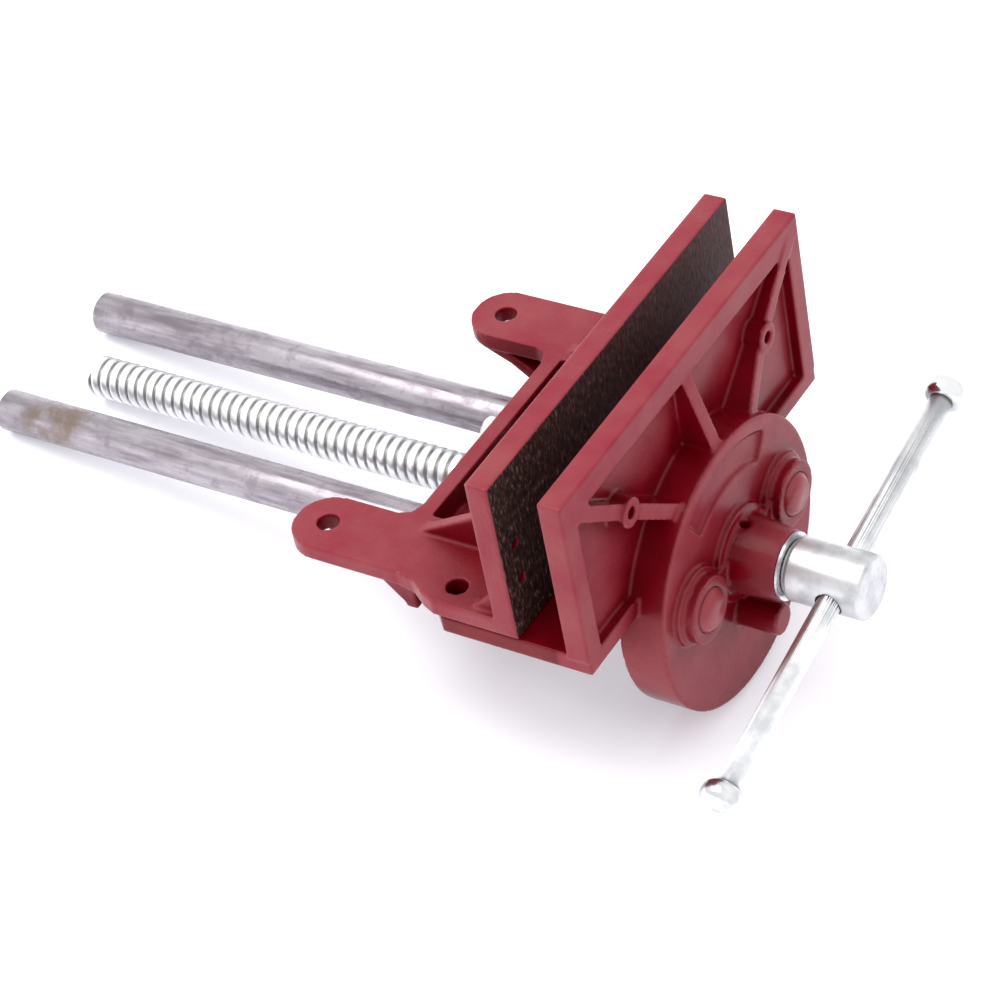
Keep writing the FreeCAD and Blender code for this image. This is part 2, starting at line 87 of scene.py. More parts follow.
# ---------------------------------------------------------------------------
# Shader helper
# ---------------------------------------------------------------------------
class Shader:
    """A material under construction, with short names for common nodes."""

    def __init__(self, name: str) -> None:
        """Start an empty material.

        Args:
            name: Name of the material.
        """
        self.material = bpy.data.materials.new(name)
        self.material.use_nodes = True
        tree = self.material.node_tree
        tree.nodes.clear()
        self.nodes = tree.nodes
        self.links = tree.links
        output = self.nodes.new("ShaderNodeOutputMaterial")
        self.bsdf = self.nodes.new("ShaderNodeBsdfPrincipled")
        self.links.new(self.bsdf.outputs["BSDF"], output.inputs["Surface"])
        self.coordinates = self.nodes.new("ShaderNodeTexCoord").outputs["Object"]

    def set(self, **values: float | Colour) -> None:
        """Set constants on the surface shader.

        Args:
            **values: Socket names with underscores for spaces, and values.
        """
        for key, value in values.items():
            socket = self.bsdf.inputs[key.replace("_", " ")]
            socket.default_value = (*value, 1.0) if isinstance(value, tuple) else value

    def feed(self, socket: str, source: bpy.types.NodeSocket) -> None:
        """Join a source to a socket of the surface shader.

        Args:
            socket: Name of the surface shader's input.
            source: Output socket that drives it.
        """
        self.links.new(source, self.bsdf.inputs[socket])

    def stretched(self, scale: Point) -> bpy.types.NodeSocket:
        """Return the object coordinates scaled by axis.

        Args:
            scale: Factor on each axis.

        Returns:
            The scaled vector.
        """
        mapping = self.nodes.new("ShaderNodeMapping")
        mapping.inputs["Scale"].default_value = scale
        self.links.new(self.coordinates, mapping.inputs["Vector"])
        return mapping.outputs["Vector"]

    def noise(
        self, scale: float, detail: float = 3.0, roughness: float = 0.5,
        vector: bpy.types.NodeSocket | None = None,
    ) -> bpy.types.NodeSocket:
        """Return a noise value.

        Args:
            scale: Noise scale, per metre.
            detail: Octaves.
            roughness: Weight of the finer octaves.
            vector: Coordinates; the object's own if left out.

        Returns:
            The noise factor, from 0 to 1.
        """
        node = self.nodes.new("ShaderNodeTexNoise")
        node.inputs["Scale"].default_value = scale
        node.inputs["Detail"].default_value = detail
        node.inputs["Roughness"].default_value = roughness
        self.links.new(vector or self.coordinates, node.inputs["Vector"])
        return node.outputs["Fac"]

    def band(
        self, source: bpy.types.NodeSocket, low: float, high: float,
        bottom: float = 0.0, top: float = 1.0,
    ) -> bpy.types.NodeSocket:
        """Return the source remapped and held between two values.

        Args:
            source: Value to remap.
            low: Input that gives bottom.
            high: Input that gives top.
            bottom: Lower result.
            top: Upper result.

        Returns:
            The remapped value.
        """
        node = self.nodes.new("ShaderNodeMapRange")
        node.interpolation_type = "SMOOTHSTEP"
        node.inputs["From Min"].default_value = low
        node.inputs["From Max"].default_value = high
        node.inputs["To Min"].default_value = bottom
        node.inputs["To Max"].default_value = top
        self.links.new(source, node.inputs["Value"])
        return node.outputs["Result"]

    def times(
        self, first: bpy.types.NodeSocket, second: bpy.types.NodeSocket,
    ) -> bpy.types.NodeSocket:
        """Return the product of two values."""
        node = self.nodes.new("ShaderNodeMath")
        node.operation = "MULTIPLY"
        self.links.new(first, node.inputs[0])
        self.links.new(second, node.inputs[1])
        return node.outputs["Value"]

    def place(self, axis: Axis) -> bpy.types.NodeSocket:
        """Return one column of the object coordinates."""
        node = self.nodes.new("ShaderNodeSeparateXYZ")
        self.links.new(self.coordinates, node.inputs["Vector"])
        return node.outputs[axis.value]

    def facing(self, axis: Axis) -> bpy.types.NodeSocket:
        """Return one column of the surface normal."""
        geometry = self.nodes.new("ShaderNodeNewGeometry")
        node = self.nodes.new("ShaderNodeSeparateXYZ")
        self.links.new(geometry.outputs["Normal"], node.inputs["Vector"])
        return node.outputs[axis.value]

    def shelter(self, reach: float) -> bpy.types.NodeSocket:
        """Return how open a point is: 1 on open faces, less in corners.

        Args:
            reach: Distance at which neighbours count, in metres.

        Returns:
            The openness.
        """
        node = self.nodes.new("ShaderNodeAmbientOcclusion")
        node.samples = 8
        node.inputs["Distance"].default_value = reach
        return node.outputs["AO"]

    def away_from(self, place: Point) -> bpy.types.NodeSocket:
        """Return the distance from a point, in metres."""
        node = self.nodes.new("ShaderNodeVectorMath")
        node.operation = "DISTANCE"
        self.links.new(self.coordinates, node.inputs[0])
        node.inputs[1].default_value = place
        return node.outputs["Value"]

    def edges(self) -> bpy.types.NodeSocket:
        """Return how sharply the surface bulges, about 0.5 where it is flat."""
        return self.nodes.new("ShaderNodeNewGeometry").outputs["Pointiness"]

    def ramp(
        self, source: bpy.types.NodeSocket, stops: Sequence[tuple[float, Colour]],
    ) -> bpy.types.NodeSocket:
        """Return a colour picked along a ramp.

        Args:
            source: Value from 0 to 1.
            stops: Positions and colours, lowest first.

        Returns:
            The colour.
        """
        node = self.nodes.new("ShaderNodeValToRGB")
        elements = node.color_ramp.elements
        while len(elements) < len(stops):
            elements.new(1.0)
        for element, (position, colour) in zip(elements, stops):
            element.position = position
            element.color = (*colour, 1.0)
        self.links.new(source, node.inputs["Fac"])
        return node.outputs["Color"]

    def mix(
        self, factor: bpy.types.NodeSocket, first: bpy.types.NodeSocket | Colour,
        second: bpy.types.NodeSocket | Colour,
    ) -> bpy.types.NodeSocket:
        """Return a blend of two colours.

        Args:
            factor: 0 gives the first colour and 1 the second.
            first: First colour or its source.
            second: Second colour or its source.

        Returns:
            The blended colour.
        """
        node = self.nodes.new("ShaderNodeMix")
        node.data_type = "RGBA"
        self.links.new(factor, node.inputs["Factor"])
        for socket, colour in ((node.inputs[6], first), (node.inputs[7], second)):
            if isinstance(colour, tuple):
                socket.default_value = (*colour, 1.0)
            else:
                self.links.new(colour, socket)
        return node.outputs[2]

    def bump(
        self, height: bpy.types.NodeSocket, strength: float, depth: float,
        under: bpy.types.NodeSocket | None = None,
    ) -> bpy.types.NodeSocket:
        """Return a bumped normal.

        Args:
            height: Height value.
            strength: Weight of the bump.
            depth: Height of the bump, in metres.
            under: Normal that this bump sits on.

        Returns:
            The bumped normal.
        """
        node = self.nodes.new("ShaderNodeBump")
        node.inputs["Strength"].default_value = strength
        node.inputs["Distance"].default_value = depth
        self.links.new(height, node.inputs["Height"])
        if under is not None:
            self.links.new(under, node.inputs["Normal"])
        return node.outputs["Normal"]


# ---------------------------------------------------------------------------
# Finishes
# ---------------------------------------------------------------------------
@dataclass(frozen=True)
class Enamel:
    """Gloss crimson enamel over a sand casting.

    Attributes:
        shade_colour: Painted shade, the darkest paint colour, laid in corners and pockets.
        shade_patch: Lighter patches of that painted shade.
        body: Paint on open faces.
        dusty: Chalky patches on open faces.
        worn: Thin paint on raised edges.
        shade_below_z: Below this height the painted corner shade is laid on, or None.
        shade_behind_y: Behind this Y the painted corner shade is laid on, or None.
        clamp_y: Y of a dark, scored clamping face, or None.
        clamp_colour: Colour of that face.
        clamp_far_tone: Colour of its lighter far end.
        clamp_scored: Colour of its light scores.
        clamp_bare: Colour of its deepest scores.
        clamp_lightening: X where that face begins to grow lighter and where it is lightest.
        reach: Distance at which a neighbouring wall brings in the painted shade.
        cloud_scale: Scale of the patches in the paint, per metre.
        chip_scale: Scale of the chips on raised edges.
        grain_scale: Scale of the sand grain under the paint.
        swell_scale: Scale of the slow waves of the cast surface.
        score_scale: Scale of the scores on the clamping face.
    """

    shade_colour: Colour = (0.095, 0.0003, 0.0026)
    shade_patch: Colour = (0.165, 0.0008, 0.0070)
    body: Colour = (0.215, 0.0120, 0.0280)
    dusty: Colour = (0.240, 0.0400, 0.0480)
    worn: Colour = (0.620, 0.240, 0.220)
    shade_below_z: float | None = None
    shade_behind_y: float | None = None
    clamp_y: float | None = None
    clamp_colour: Colour = (0.013, 0.006, 0.005)
    clamp_far_tone: Colour = (0.095, 0.036, 0.036)
    clamp_scored: Colour = (0.065, 0.030, 0.026)
    clamp_bare: Colour = (0.260, 0.190, 0.160)
    clamp_lightening: Pair = (-100 * MM, 100 * MM)
    reach: float = 60 * MM
    cloud_scale: float = 38.0
    chip_scale: float = 260.0
    grain_scale: float = 420.0
    swell_scale: float = 75.0
    score_scale: float = 620.0

    def build(self, name: str) -> bpy.types.Material:
        """Return the finish as a material.

        Args:
            name: Name of the material.

        Returns:
            The material.
        """
        shader = Shader(name)
        cloud = shader.noise(self.cloud_scale, 4.0, 0.55)
        open_paint = shader.ramp(cloud, [(0.30, self.body), (0.66, self.dusty)])
        # Painted shade: where nearby walls crowd a point, in corners and pockets, a darker
        # paint colour stands in for the shade that falls there.
        painted_shade = shader.ramp(cloud, [(0.30, self.shade_colour), (0.70, self.shade_patch)])
        openness = shader.band(shader.shelter(self.reach), 0.62, 0.995)
        # Painted shade: below the given height the faces take the darker corner colour.
        if self.shade_below_z is not None:
            raised = shader.band(
                shader.place(Axis.Z), self.shade_below_z - 4 * MM, self.shade_below_z + 4 * MM, 0.15, 1.0)
            openness = shader.times(openness, raised)
        # Painted shade: behind the given Y the faces take the darker corner colour.
        if self.shade_behind_y is not None:
            ahead = shader.band(
                shader.place(Axis.Y), self.shade_behind_y - 2 * MM, self.shade_behind_y + 2 * MM, 1.0, 0.10)
            openness = shader.times(openness, ahead)
        paint = shader.mix(openness, painted_shade, open_paint)
        chips = shader.times(
            shader.band(shader.edges(), 0.53, 0.60),
            shader.band(shader.noise(self.chip_scale, 4.0, 0.7), 0.46, 0.62))
        colour = shader.mix(chips, paint, self.worn)
        roughness = shader.band(openness, 0.0, 1.0, 0.20, 0.40)
        grain = shader.noise(self.grain_scale, 3.0, 0.6)
        normal = shader.bump(grain, 0.16, 0.6 * MM)
        swell = shader.noise(self.swell_scale, 2.0, 0.4)
        normal = shader.bump(swell, 0.20, 1.2 * MM, under=normal)
        if self.clamp_y is not None:
            mask = self.clamp_mask(shader)
            upright = shader.stretched((1.0, 1.0, 0.34))
            scores = shader.noise(self.score_scale, 3.0, 0.7, upright)
            near = shader.ramp(scores, [
                (0.44, self.clamp_colour), (0.58, self.clamp_scored), (0.70, self.clamp_bare)])
            far = shader.ramp(scores, [(0.34, self.clamp_colour), (0.56, self.clamp_far_tone)])
            # The clamping face grows lighter towards its far end.
            far_share = shader.band(shader.place(Axis.X), *self.clamp_lightening)
            colour = shader.mix(mask, colour, shader.mix(far_share, near, far))
            roughness = shader.band(mask, 0.0, 1.0, 0.38, 0.58)
            normal = shader.bump(scores, 0.5, 0.6 * MM, under=normal)
        shader.feed("Base Color", colour)
        shader.feed("Roughness", roughness)
        shader.feed("Normal", normal)
        shader.set(Specular_IOR_Level=0.17)
        return shader.material

    def clamp_mask(self, shader: Shader) -> bpy.types.NodeSocket:
        """Return 1 on the clamping face and 0 elsewhere."""
        behind = shader.band(
            shader.place(Axis.Y), self.clamp_y + 0.6 * MM, self.clamp_y + 1.4 * MM, 1.0, 0.0)
        turned = shader.band(shader.facing(Axis.Y), -0.93, -0.80, 1.0, 0.0)
        return shader.times(behind, turned)


@dataclass(frozen=True)
class DrawnSteel:
    """Bright drawn bar with faint streaks and a little rust.

    Attributes:
        light: Clean steel.
        dull: Steel with a film of oxide.
        rust: Rust colour.
        rust_at: Middle of the rust patch, or None.
        paint_y: Paint covers what lies in front of this Y, or None.
        paint: Colour of that paint.
        streak_scale: Scale of the drawing streaks, per metre.
        blotch_scale: Scale of the oxide blotches.
        rust_reach: Distances from its middle where rust is full and where it ends.
    """

    light: Colour = (0.42, 0.385, 0.42)
    dull: Colour = (0.22, 0.185, 0.215)
    rust: Colour = (0.22, 0.165, 0.125)
    rust_at: Point | None = None
    paint_y: float | None = None
    paint: Colour = (0.235, 0.0150, 0.0260)
    streak_scale: float = 60.0
    blotch_scale: float = 75.0
    rust_reach: Pair = (10 * MM, 26 * MM)

    def build(self, name: str) -> bpy.types.Material:
        """Return the finish as a material.

        Args:
            name: Name of the material.

        Returns:
            The material.
        """
        shader = Shader(name)
        lengthwise = shader.stretched((3.0, 0.30, 3.0))
        streak = shader.noise(self.streak_scale, 5.0, 0.65, lengthwise)
        blotch = shader.noise(self.blotch_scale, 5.0, 0.65)
        steel = shader.ramp(streak, [(0.34, self.dull), (0.60, self.light)])
        colour = shader.mix(shader.band(blotch, 0.52, 0.64, 0.0, 0.55), steel, self.dull)
        metal = shader.band(blotch, 0.50, 0.70, 1.0, 0.65)
        roughness = shader.band(blotch, 0.35, 0.65, 0.26, 0.46)
        if self.rust_at is not None:
            patch = shader.times(
                shader.band(shader.away_from(self.rust_at), *self.rust_reach, 1.0, 0.0),
                shader.band(blotch, 0.36, 0.60, 0.15, 0.85))
            colour = shader.mix(patch, colour, self.rust)
            metal = shader.band(patch, 0.0, 0.8, 0.95, 0.1)
        if self.paint_y is not None:
            painted = shader.band(
                shader.place(Axis.Y), self.paint_y, self.paint_y + 0.4 * MM, 1.0, 0.0)
            colour = shader.mix(painted, colour, self.paint)
            metal = shader.band(painted, 0.0, 1.0, 1.0, 0.0)
        shader.feed("Base Color", colour)
        shader.feed("Metallic", metal)
        shader.feed("Roughness", roughness)
        shader.feed("Normal", shader.bump(streak, 0.10, 0.4 * MM))
        return shader.material


@dataclass(frozen=True)
class ZincPlate:
    """Bright zinc plate over turned steel.

    Attributes:
        bright: Clean plate.
        cloudy: Plate that has begun to dull.
        groove_shade: Painted shade in grooves and corners.
        low: Least roughness.
        high: Most roughness.
        cloud_scale: Scale of the cloudy patches, per metre.
        fine_scale: Scale of the fine crystals.
        reach: Distance at which a neighbouring wall brings in the painted shade.
    """

    bright: Colour = (0.74, 0.745, 0.76)
    cloudy: Colour = (0.53, 0.54, 0.56)
    groove_shade: Colour = (0.15, 0.15, 0.145)
    low: float = 0.22
    high: float = 0.40
    cloud_scale: float = 70.0
    fine_scale: float = 900.0
    reach: float = 3 * MM

    def build(self, name: str) -> bpy.types.Material:
        """Return the finish as a material.

        Args:
            name: Name of the material.

        Returns:
            The material.
        """
        shader = Shader(name)
        cloud = shader.noise(self.cloud_scale, 4.0, 0.6)
        fine = shader.noise(self.fine_scale, 2.0, 0.6)
        plate = shader.ramp(cloud, [(0.34, self.cloudy), (0.56, self.bright)])
        # Painted shade: grooves and corners near other walls take a darker colour.
        openness = shader.band(shader.shelter(self.reach), 0.20, 0.70)
        shader.feed("Base Color", shader.mix(openness, self.groove_shade, plate))
        shader.feed("Roughness", shader.band(cloud, 0.3, 0.7, self.high, self.low))
        shader.feed("Normal", shader.bump(fine, 0.08, 0.2 * MM))
        shader.set(Metallic=1.0)
        return shader.material


@dataclass(frozen=True)
class PlainMetal:
    """A small unseen or part-seen metal part.

    Attributes:
        colour: Metal colour.
        other: Colour of its blotches.
        roughness: Surface roughness.
        cloud_scale: Scale of the blotches, per metre.
    """

    colour: Colour = (0.18, 0.17, 0.17)
    other: Colour = (0.10, 0.09, 0.09)
    roughness: float = 0.55
    cloud_scale: float = 140.0

    def build(self, name: str) -> bpy.types.Material:
        """Return the finish as a material.

        Args:
            name: Name of the material.

        Returns:
            The material.
        """
        shader = Shader(name)
        cloud = shader.noise(self.cloud_scale, 4.0, 0.6)
        shader.feed("Base Color", shader.ramp(cloud, [(0.35, self.other), (0.65, self.colour)]))
        shader.feed("Normal", shader.bump(cloud, 0.2, 0.4 * MM))
        shader.set(Metallic=1.0, Roughness=self.roughness)
        return shader.material


Finish = Enamel | DrawnSteel | ZincPlate | PlainMetal


# ---------------------------------------------------------------------------
# Mesh helpers
# ---------------------------------------------------------------------------
def dress(piece: bpy.types.Object, finish: Finish) -> None:
    """Give a piece its only material.

    Args:
        piece: Piece to dress.
        finish: Finish to build for it.
    """
    piece.data.materials.clear()
    piece.data.materials.append(finish.build(piece.name + "_finish"))


def new_piece(name: str, mesh: bmesh.types.BMesh) -> bpy.types.Object:
    """Return an object made from an edit mesh, with its normals facing out.

    Args:
        name: Name of the object.
        mesh: Finished edit mesh; freed here.

    Returns:
        The object, linked to the scene.
    """
    bmesh.ops.remove_doubles(mesh, verts=mesh.verts, dist=MERGE)
    bmesh.ops.recalc_face_normals(mesh, faces=mesh.faces)
    data = bpy.data.meshes.new(name)
    mesh.to_mesh(data)
    mesh.free()
    piece = bpy.data.objects.new(name, data)
    bpy.context.scene.collection.objects.link(piece)
    return piece


def soften(piece: bpy.types.Object, angle: float) -> None:
    """Shade a piece smoothly, with hard edges above an angle.

    Args:
        piece: Piece to shade.
        angle: Angle between faces in degrees.
    """
    piece.data.polygons.foreach_set("use_smooth", [True] * len(piece.data.polygons))
    piece.data.set_sharp_from_angle(angle=math.radians(angle))


def profile_edges(
    mesh: bmesh.types.BMesh, outline: Iterable[Pair], place: Callable[[float, float], Vector],
) -> list[bmesh.types.BMEdge]:
    """Draw an outline as a chain of edges.

    Args:
        mesh: Edit mesh to draw in.
        outline: (distance along the axis, radius) pairs.
        place: Turns a pair into a point.

    Returns:
        The edges, in order.
    """
    drawn = [mesh.verts.new(place(*pair)) for pair in outline]
    return [mesh.edges.new(pair) for pair in zip(drawn, drawn[1:])]


# ---------------------------------------------------------------------------
# Sub-assemblies
# ---------------------------------------------------------------------------
@dataclass
class CastPart:
    """A CAD node redrawn with the rounded edges of a casting or forging.

    Attributes:
        node: CAD node it stands for.
        body: CAD body it moves with.
        cell: Size of the remesh cells, in metres.
        passes: Smoothing passes that round the edges.
        kept: Share of the faces kept when flat areas are thinned.
        finish: Its finish.
        slot: Its record slot; not used.
    """

    node: str
    body: Body
    cell: float
    passes: int
    kept: float
    finish: Finish
    slot: Slot = Slot.ENAMEL

    def build(self) -> bpy.types.Object:
        """Make the rounded copy and hide the node behind it.

        Returns:
            The new piece.
        """
        merged = bmesh.new()
        merged.from_mesh(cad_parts[self.node].data)
        bmesh.ops.remove_doubles(merged, verts=merged.verts, dist=MERGE)
        piece = new_piece(self.node + "_cast", merged)
        remesh = piece.modifiers.new("cells", "REMESH")
        remesh.mode = "VOXEL"
        remesh.voxel_size = self.cell
        remesh.use_smooth_shade = True
        smooth = piece.modifiers.new("round", "SMOOTH")
        smooth.factor = 0.5
        smooth.iterations = self.passes
        thin = piece.modifiers.new("thin", "DECIMATE")
        thin.ratio = self.kept
        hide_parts(self.node)
        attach(piece, self.body.value)
        dress(piece, self.finish)
        return piece


@dataclass
class LeadScrew:
    """The screw with its real helical thread.

    Attributes:
        axis_z: Height of the screw's axis.
        spigot_front: Front end of the spigot inside the head.
        spigot: Radius of the spigot.
        front: Front end of the plain shank.
        thread_front: Where the thread starts.
        turns: Turns of thread.
        lead: Lead of the thread.
        core: Radius at the root.
        crest: Radius at the crest.
        shank: Radius of the plain shank.
        pilot: Length of the tapered end.
        steps: Steps in one turn.
        half_root: Half of the thread's width at the root.
        half_crest: Half of its width at the crest.
        ease: Length over which the thread's corners are rounded.
        overrun: Turns wound before the first, to be cut away.
        finish: Its finish.
    """

    axis_z: float = -34.0 * MM
    spigot_front: float = -97.0 * MM
    spigot: float = 9.0 * MM
    front: float = -80.2 * MM
    thread_front: float = 30.0 * MM
    turns: int = 50
    lead: float = 6.0 * MM
    core: float = 8.0 * MM
    crest: float = 10.95 * MM
    shank: float = 11.0 * MM
    pilot: float = 1.5 * MM
    steps: int = 36
    half_root: float = 2.45 * MM
    half_crest: float = 1.80 * MM
    ease: float = 0.40 * MM
    overrun: int = 2
    # Its grooves get a light painted shade.
    finish: ZincPlate = ZincPlate(
        bright=(0.88, 0.885, 0.90), cloudy=(0.74, 0.75, 0.76), groove_shade=(0.60, 0.60, 0.58),
        low=0.28, high=0.40)

    def point(self, along: float, radius: float) -> Vector:
        """Return a point above the screw's axis."""
        return Vector((0.0, along, self.axis_z + radius))

    def thread_outline(self, turn: int) -> list[Pair]:
        """Return the rounded outline of one lead of thread.

        Args:
            turn: Number of that lead, 0 for the first and less in front of it.

        Returns:
            (distance along the axis, radius) pairs.
        """
        start = self.thread_front + turn * self.lead
        middle = start + self.lead / 2
        rise = self.crest - self.core
        left = [
            (start, self.core),
            (middle - self.half_root - self.ease, self.core),
            (middle - self.half_root, self.core + 0.08 * rise),
            (middle - self.half_crest - self.ease / 2, self.crest - 0.16 * rise),
            (middle - self.half_crest + self.ease, self.crest),
        ]
        right = [(2 * middle - along, radius) for along, radius in reversed(left)]
        return left + right

    def build(self) -> bpy.types.Object:
        """Turn the shank, wind the thread and join them in one piece.

        Returns:
            The screw.
        """
        mesh = bmesh.new()
        back = self.thread_front + self.turns * self.lead
        self.wind(mesh, back)
        shank = [
            (self.spigot_front, 0.0),
            (self.spigot_front, self.spigot),
            (self.front, self.spigot),
            (self.front, self.shank - 0.6 * MM),
            (self.front + 0.6 * MM, self.shank),
            (self.thread_front - 0.5 * MM, self.shank),
            (self.thread_front, self.shank - 0.5 * MM),
            (self.thread_front, 0.0),
        ]
        self.turn(mesh, shank)
        tail = [
            (back - 0.1 * MM, 0.0),
            (back - 0.1 * MM, self.core - 0.05 * MM),
            (back + 0.4 * self.pilot, self.core - 0.1 * MM),
            (back + self.pilot, self.core - 1.0 * MM),
            (back + self.pilot, 0.0),
        ]
        self.turn(mesh, tail)
        piece = new_piece("lead_screw_threaded", mesh)
        soften(piece, 40.0)
        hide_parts("lead_screw")
        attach(piece, Body.SCREW.value)
        dress(piece, self.finish)
        return piece

    def turn(self, mesh: bmesh.types.BMesh, outline: Sequence[Pair]) -> None:
        """Add a turned solid about the screw's axis."""
        edges = profile_edges(mesh, outline, self.point)
        drawn = list({vert for edge in edges for vert in edge.verts})
        bmesh.ops.spin(
            mesh, geom=drawn + edges, cent=(0.0, 0.0, self.axis_z), axis=(0.0, 1.0, 0.0),
            angle=2 * math.pi, steps=ROUND_STEPS, use_merge=True, use_duplicate=False)

    def wind(self, mesh: bmesh.types.BMesh, back: float) -> None:
        """Add the thread, wound past both ends, then cut square and closed.

        Args:
            mesh: Edit mesh to draw in, still empty.
            back: Where the thread stops.
        """
        edges = profile_edges(mesh, self.thread_outline(-self.overrun), self.point)
        first = {vert for edge in edges for vert in edge.verts}
        turns = self.turns + self.overrun + 1
        bmesh.ops.spin(
            mesh, geom=list(first) + edges, cent=(0.0, 0.0, self.axis_z), axis=(0.0, 1.0, 0.0),
            dvec=(0.0, self.lead / self.steps, 0.0), angle=2 * math.pi * turns,
            steps=self.steps * turns, use_duplicate=False)
        bmesh.ops.remove_doubles(mesh, verts=mesh.verts, dist=MERGE)
        for end, outward in ((self.thread_front - 0.3 * MM, -1.0), (back, 1.0)):
            cut = bmesh.ops.bisect_plane(
                mesh, geom=[*mesh.verts, *mesh.edges, *mesh.faces], dist=1e-7,
                plane_co=(0.0, end, 0.0), plane_no=(0.0, outward, 0.0), clear_outer=True)
            rim = [item for item in cut["geom_cut"] if isinstance(item, bmesh.types.BMEdge)]
            bmesh.ops.edgeloop_fill(mesh, edges=rim)


@dataclass
class BarKnob:
    """A rounded end knob of the tommy bar.

    Attributes:
        node: CAD node it stands for.
        distance: Middle of the knob, counted from the head's axis.
        outward: +1 at the raised end and -1 at the other.
        radius: Radius of the knob.
        half_length: Half of its length.
        hole: Radius of the dimple in its end.
        tilt: Tilt of the bar.
        centre: Middle of the head.
    """

    node: str
    distance: float
    outward: int
    radius: float = 10.5 * MM
    half_length: float = 5.4 * MM
    hole: float = 4.3 * MM
    tilt: float = math.radians(10.8)
    centre: Point = (0.0, -106.0 * MM, -34.0 * MM)

    def direction(self) -> Vector:
        """Return the bar's direction, towards its raised end."""
        return Vector((math.cos(self.tilt), 0.0, math.sin(self.tilt)))

    def place(self, along: float, radius: float) -> Vector:
        """Return a point beside the bar's axis."""
        side = Vector((0.0, 1.0, 0.0))
        return Vector(self.centre) + self.direction() * (self.distance + along) + side * radius

    def build(self) -> bpy.types.Object:
        """Turn the knob and put it on the bar.

        Returns:
            The knob.
        """
        mesh = bmesh.new()
        long, wide, out = self.half_length, self.radius, self.outward
        outline = [
            (-out * long, 0.0), (-out * long, 0.70 * wide), (-out * 0.92 * long, 0.80 * wide),
            (-out * 0.70 * long, 0.91 * wide), (-out * 0.38 * long, 0.98 * wide), (0.0, wide),
            (out * 0.38 * long, 0.98 * wide), (out * 0.70 * long, 0.91 * wide),
            (out * 0.90 * long, 0.78 * wide), (out * long, 0.62 * wide),
            (out * long, self.hole), (out * 0.90 * long, self.hole - 0.35 * MM),
            (out * 0.98 * long, 0.45 * self.hole), (out * long, 0.0),
        ]
        edges = profile_edges(mesh, outline, self.place)
        drawn = list({vert for edge in edges for vert in edge.verts})
        bmesh.ops.spin(
            mesh, geom=drawn + edges, cent=self.centre, axis=self.direction(),
            angle=2 * math.pi, steps=ROUND_STEPS, use_merge=True, use_duplicate=False)
        piece = new_piece(self.node + "_turned", mesh)
        soften(piece, 38.0)
        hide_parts(self.node)
        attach(piece, Body.BAR.value)
        dress(piece, ZincPlate(low=0.15, high=0.26))
        return piece


@dataclass
class RoundPart:
    """A turned CAD node, shown with its round faces shaded smoothly.

    Attributes:
        node: CAD node it stands for.
        body: CAD body it moves with.
        finish: Its finish.
        slot: Its record slot; not used.
    """

    node: str
    body: Body
    finish: Finish
    slot: Slot

    def build(self) -> bpy.types.Object:
        """Make the smooth copy and hide the node behind it.

        Returns:
            The new piece.
        """
        merged = bmesh.new()
        merged.from_mesh(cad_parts[self.node].data)
        piece = new_piece(self.node + "_round", merged)
        soften(piece, 30.0)
        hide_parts(self.node)
        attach(piece, self.body.value)
        dress(piece, self.finish)
        return piece


@dataclass
class KeptNodes:
    """CAD nodes whose own shape is shown.

    Attributes:
        finishes: Finish and record slot by node.
    """

    finishes: dict[str, tuple[Finish, Slot]]

    def build(self) -> None:
        """Dress each node."""
        for name, (finish, slot) in self.finishes.items():
            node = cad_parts[name]
            dress(node, finish)


